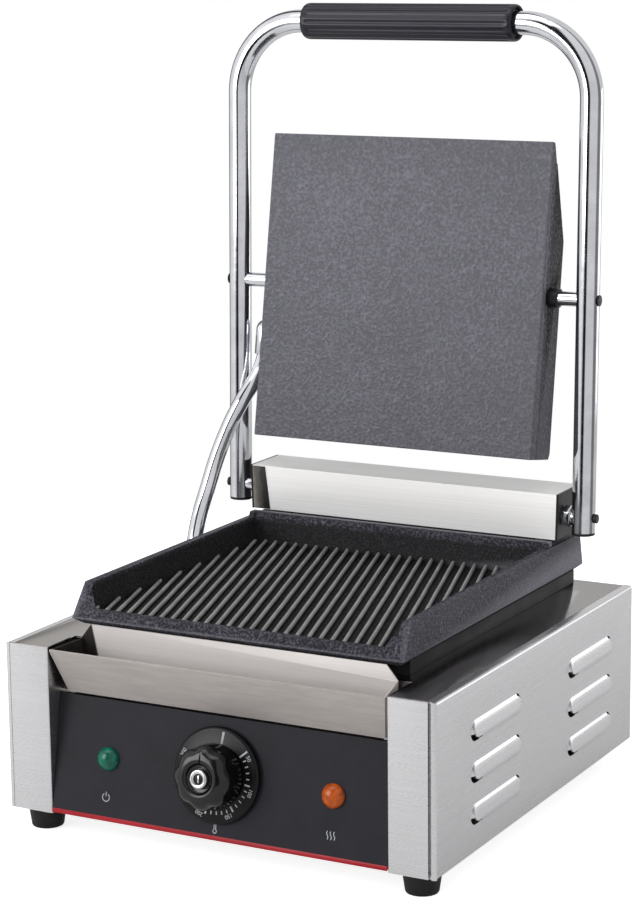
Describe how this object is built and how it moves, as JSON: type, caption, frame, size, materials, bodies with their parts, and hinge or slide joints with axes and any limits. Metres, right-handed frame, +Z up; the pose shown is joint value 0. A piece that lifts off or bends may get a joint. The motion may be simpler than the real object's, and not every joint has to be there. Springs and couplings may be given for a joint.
{
  "type": "panini press",
  "caption": "Tabletop panini press: ribbed cast-iron lower plate, flat upper plate on a tube handle, drip tray, thermostat knob and louvred steel body.",
  "frame": {"origin": "on the table under the middle of the object's bounding box, between the feet", "axes": "+Z up, +Y to the back, +X to the right as seen from the front"},
  "size_m": [0.316, 0.3502, 0.5276],
  "materials": {
    "stainless": "satin brushed stainless",
    "panel_steel": "satin",
    "panel_print": "satin printed film",
    "trim_red": "satin",
    "rubber": "matt",
    "zinc_steel": "zinc plated",
    "skirt_black": "matt heat-resistant paint",
    "cast_iron": "fine granular seasoned iron",
    "cover_iron": "granular coat",
    "heater_steel": "oxidised",
    "insulation": "mineral fibre",
    "brass": "satin",
    "thermostat_plastic": "matt",
    "lens_green": "clear tinted lens",
    "lens_amber": "clear tinted lens",
    "black_plastic": "satin",
    "chrome": "polished",
    "grip_black": "moulded gloss",
    "knob_black": "moulded gloss",
    "knob_cap": "satin"
  },
  "bodies": {
    "base": {"base_pan": "stainless", "side_panel_left": "stainless", "side_panel_right": "stainless", "top_deck": "stainless", "rear_panel": "stainless", "control_panel": "panel_steel", "panel_overlay": "panel_print", "trim_strip": "trim_red", "tray_rails": "stainless", "foot_front_left": "rubber", "foot_front_right": "rubber", "foot_rear_left": "rubber", "foot_rear_right": "rubber", "foot_screws": "zinc_steel", "support_skirt": "skirt_black", "lower_plate": "cast_iron", "lower_element": "heater_steel", "lower_clamp": "zinc_steel", "lower_insulation": "insulation", "lower_studs": "zinc_steel", "hinge_box": "stainless", "hinge_box_caps": "black_plastic", "hinge_brackets": "zinc_steel", "shaft_bushes": "brass", "torsion_spring_left": "heater_steel", "torsion_spring_right": "heater_steel", "thermostat_body": "thermostat_plastic", "thermostat_bulb": "brass", "green_lens": "lens_green", "amber_lens": "lens_amber", "lamp_holders": "black_plastic", "terminal_block": "thermostat_plastic", "mains_gland": "black_plastic", "conduit_gland": "chrome", "conduit": "chrome", "panel_screws": "zinc_steel", "hinge_box_screws": "zinc_steel"},
    "tray": {"drip_tray": "stainless"},
    "handle": {"handle_tube": "chrome", "handle_grip": "grip_black", "leg_plugs": "black_plastic", "hinge_shaft": "chrome", "shaft_screws": "black_plastic", "shaft_collar": "chrome", "spring_carriers": "zinc_steel", "pivot_pins": "chrome", "pin_screws": "black_plastic"},
    "press_plate": {"upper_plate": "cast_iron", "upper_cover": "cover_iron", "upper_element": "heater_steel", "upper_clamp": "zinc_steel", "upper_insulation": "insulation", "pivot_blocks": "zinc_steel", "pivot_collar": "black_plastic", "cover_screws": "zinc_steel", "conduit_elbow": "chrome"},
    "knob": {"thermostat_stem": "zinc_steel", "knob_skirt": "knob_black", "knob_grip": "knob_black", "knob_cap": "knob_cap"}
  },
  "joints": [
    {"name": "handle_swing", "type": "hinge", "parent": "base", "child": "handle", "pos_m": [0, 0.12155, 0.1815], "axis": [1, 0, 0], "range_deg": [0, 95.9], "stiffness_Nm_per_rad": 2.9, "springref_deg": -8.59, "deforming": ["conduit"]},
    {"name": "plate_pivot", "type": "hinge", "parent": "handle", "child": "press_plate", "pos_m": [0, 0.12562, 0.33094], "axis": [1, 0, 0], "range_deg": [0, 5.7]},
    {"name": "thermostat_turn", "type": "hinge", "parent": "base", "child": "knob", "pos_m": [0, -0.14531, 0.05701], "axis": [0, 0.9839, -0.1788], "range_deg": [0, 285]},
    {"name": "tray_slide", "type": "slide", "parent": "base", "child": "tray", "axis": [0, -1, 0], "range_m": [0, 0.06]}
  ]
}
